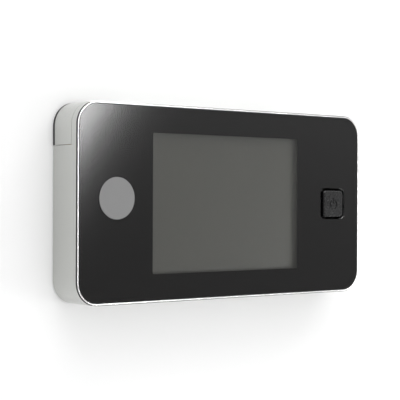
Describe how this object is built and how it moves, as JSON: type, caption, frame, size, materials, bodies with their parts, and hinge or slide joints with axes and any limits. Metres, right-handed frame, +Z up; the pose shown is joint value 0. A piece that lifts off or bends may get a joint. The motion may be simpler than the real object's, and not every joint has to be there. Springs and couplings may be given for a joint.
{
  "type": "peephole door camera",
  "caption": "Digital door viewer: a slim screen unit that hangs inside on a hooked plate, clamped through the door's viewer hole to a small outdoor camera head by a hollow screw.",
  "frame": {"origin": "on the barrel's axis at the door's inner face, which is the back of the bracket's pad", "axes": "+X right across the screen seen from the room, +Y through the door to the outside, +Z up"},
  "size_m": [0.13, 0.0742, 0.068],
  "materials": {
    "glass_clear": "clear acrylic, polished",
    "mask_print": "black screen print behind the glass",
    "badge_grey": "satin grey disc, bare",
    "rim_bright": "bright silver plating on moulded plastic",
    "case_silver": "fine silver paint on moulded plastic",
    "cover_black": "fine spark-eroded texture",
    "frame_black": "moulded",
    "button_black": "moulded, semi-gloss",
    "display_face": "grey-green polariser film",
    "display_cell": "dark display glass",
    "gasket_foam": "closed-cell foam",
    "backlight_white": "white moulded frame",
    "board_green": "solder mask",
    "chip_black": "moulded package",
    "socket_ivory": "moulded",
    "flex_amber": "polyimide film",
    "switch_black": "moulded",
    "cell_wrap": "plain printed sleeve",
    "contact_nickel": "nickel-plated spring steel",
    "screw_black": "black oxide",
    "screw_steel": "zinc-plated",
    "bracket_steel": "zinc-plated sheet",
    "pad_foam": "white adhesive foam",
    "sleeve_brass": "nickel-plated",
    "tube_chrome": "satin chrome plating on brass",
    "head_chrome": "satin chrome plating",
    "ring_black": "black anodised",
    "rubber_black": "moulded",
    "window_clear": "coated glass",
    "lens_glass": "coated lens",
    "lens_black": "moulded"
  },
  "bodies": {
    "door_mount": {"door_bracket": "bracket_steel", "bracket_pad": "pad_foam"},
    "monitor": {"side_band": "case_silver", "rear_cover": "cover_black", "inner_frame": "frame_black", "front_rim": "rim_bright", "front_glass": "glass_clear", "mask_film": "mask_print", "badge_disc": "badge_grey", "display_gasket": "gasket_foam", "display_polariser": "display_face", "display_glass": "display_cell", "backlight": "backlight_white", "display_flex": "flex_amber", "display_socket": "socket_ivory", "main_board": "board_green", "board_chips": "chip_black", "camera_socket": "socket_ivory", "push_switch": "switch_black", "battery_cradle": "cover_black", "bay_contacts": "contact_nickel", "battery_cell_left": "cell_wrap", "battery_cell_right": "cell_wrap", "case_screws": "screw_black", "board_screws": "screw_steel"},
    "battery_cap": {"battery_cap": "case_silver", "cap_contact": "contact_nickel"},
    "power_button": {"power_button": "button_black"},
    "switch_plunger": {"switch_plunger": "switch_black"},
    "clamp_sleeve": {"clamp_sleeve": "sleeve_brass"},
    "outdoor_camera": {"camera_tube": "tube_chrome", "camera_housing": "head_chrome", "door_rubber": "rubber_black", "camera_window": "window_clear", "window_ring": "ring_black", "sensor_board": "board_green", "sensor_socket": "socket_ivory", "image_sensor": "chip_black", "lens_holder": "lens_black", "lens_barrel": "lens_black", "front_element": "lens_glass", "camera_baffle": "lens_black"}
  },
  "joints": [
    {"name": "monitor_lift", "type": "slide", "parent": "door_mount", "child": "monitor", "axis": [0, 0, 1], "range_m": [0, 0.006]},
    {"name": "battery_cap_slide", "type": "slide", "parent": "monitor", "child": "battery_cap", "axis": [0, 0, 1], "range_m": [0, 0.022]},
    {"name": "power_button_press", "type": "slide", "parent": "monitor", "child": "power_button", "axis": [0, 1, 0], "range_m": [0, 0.0005], "stiffness_N_per_m": 2000},
    {"name": "switch_plunger_press", "type": "slide", "parent": "monitor", "child": "switch_plunger", "axis": [0, 1, 0], "range_m": [0, 0.0005]},
    {"name": "clamp_sleeve_turn", "type": "hinge", "parent": "door_mount", "child": "clamp_sleeve", "pos_m": [0, 0, 0], "axis": [0, 1, 0], "range_deg": [-2880, 2880]},
    {"name": "outdoor_camera_slide", "type": "slide", "parent": "door_mount", "child": "outdoor_camera", "axis": [0, 1, 0], "range_m": [-0.0085, 0.0085]}
  ],
  "couplings": [
    {"joint": "switch_plunger_press", "follows": "power_button_press", "ratio": 1},
    {"joint": "outdoor_camera_slide", "follows": "clamp_sleeve_turn", "m_per_rad": -0.00015915}
  ]
}
